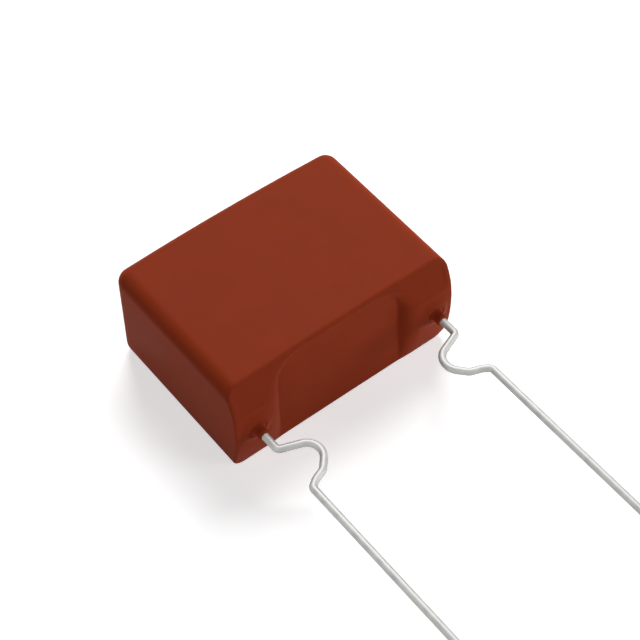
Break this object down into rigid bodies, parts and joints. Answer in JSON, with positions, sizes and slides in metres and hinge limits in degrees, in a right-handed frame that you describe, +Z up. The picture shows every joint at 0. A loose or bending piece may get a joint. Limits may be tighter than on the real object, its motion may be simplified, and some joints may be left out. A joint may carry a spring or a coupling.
{
  "type": "film capacitor",
  "caption": "Rounded block of resin-dipped wound film with swollen lead feet and parallel crimped wire leads for a circuit board.",
  "frame": {"origin": "centre of the body's underside, on the surface that the capacitor lies on", "axes": "+X along the lead pitch, -Y along the leads away from the body, +Z up through the body's thickness"},
  "size_m": [0.0274, 0.053, 0.0124],
  "materials": {
    "resin": "satin dipped resin, brick red-brown",
    "film": "metallised film seen edge on and flat, silvery",
    "spray_metal": "matt sprayed metal",
    "tinned_wire": "bright tinned wire"
  },
  "bodies": {
    "root": {"resin_coat": "resin", "film_winding": "film", "end_spray_left": "spray_metal", "end_spray_right": "spray_metal", "lead_left": "tinned_wire", "lead_right": "tinned_wire"}
  },
  "joints": []
}
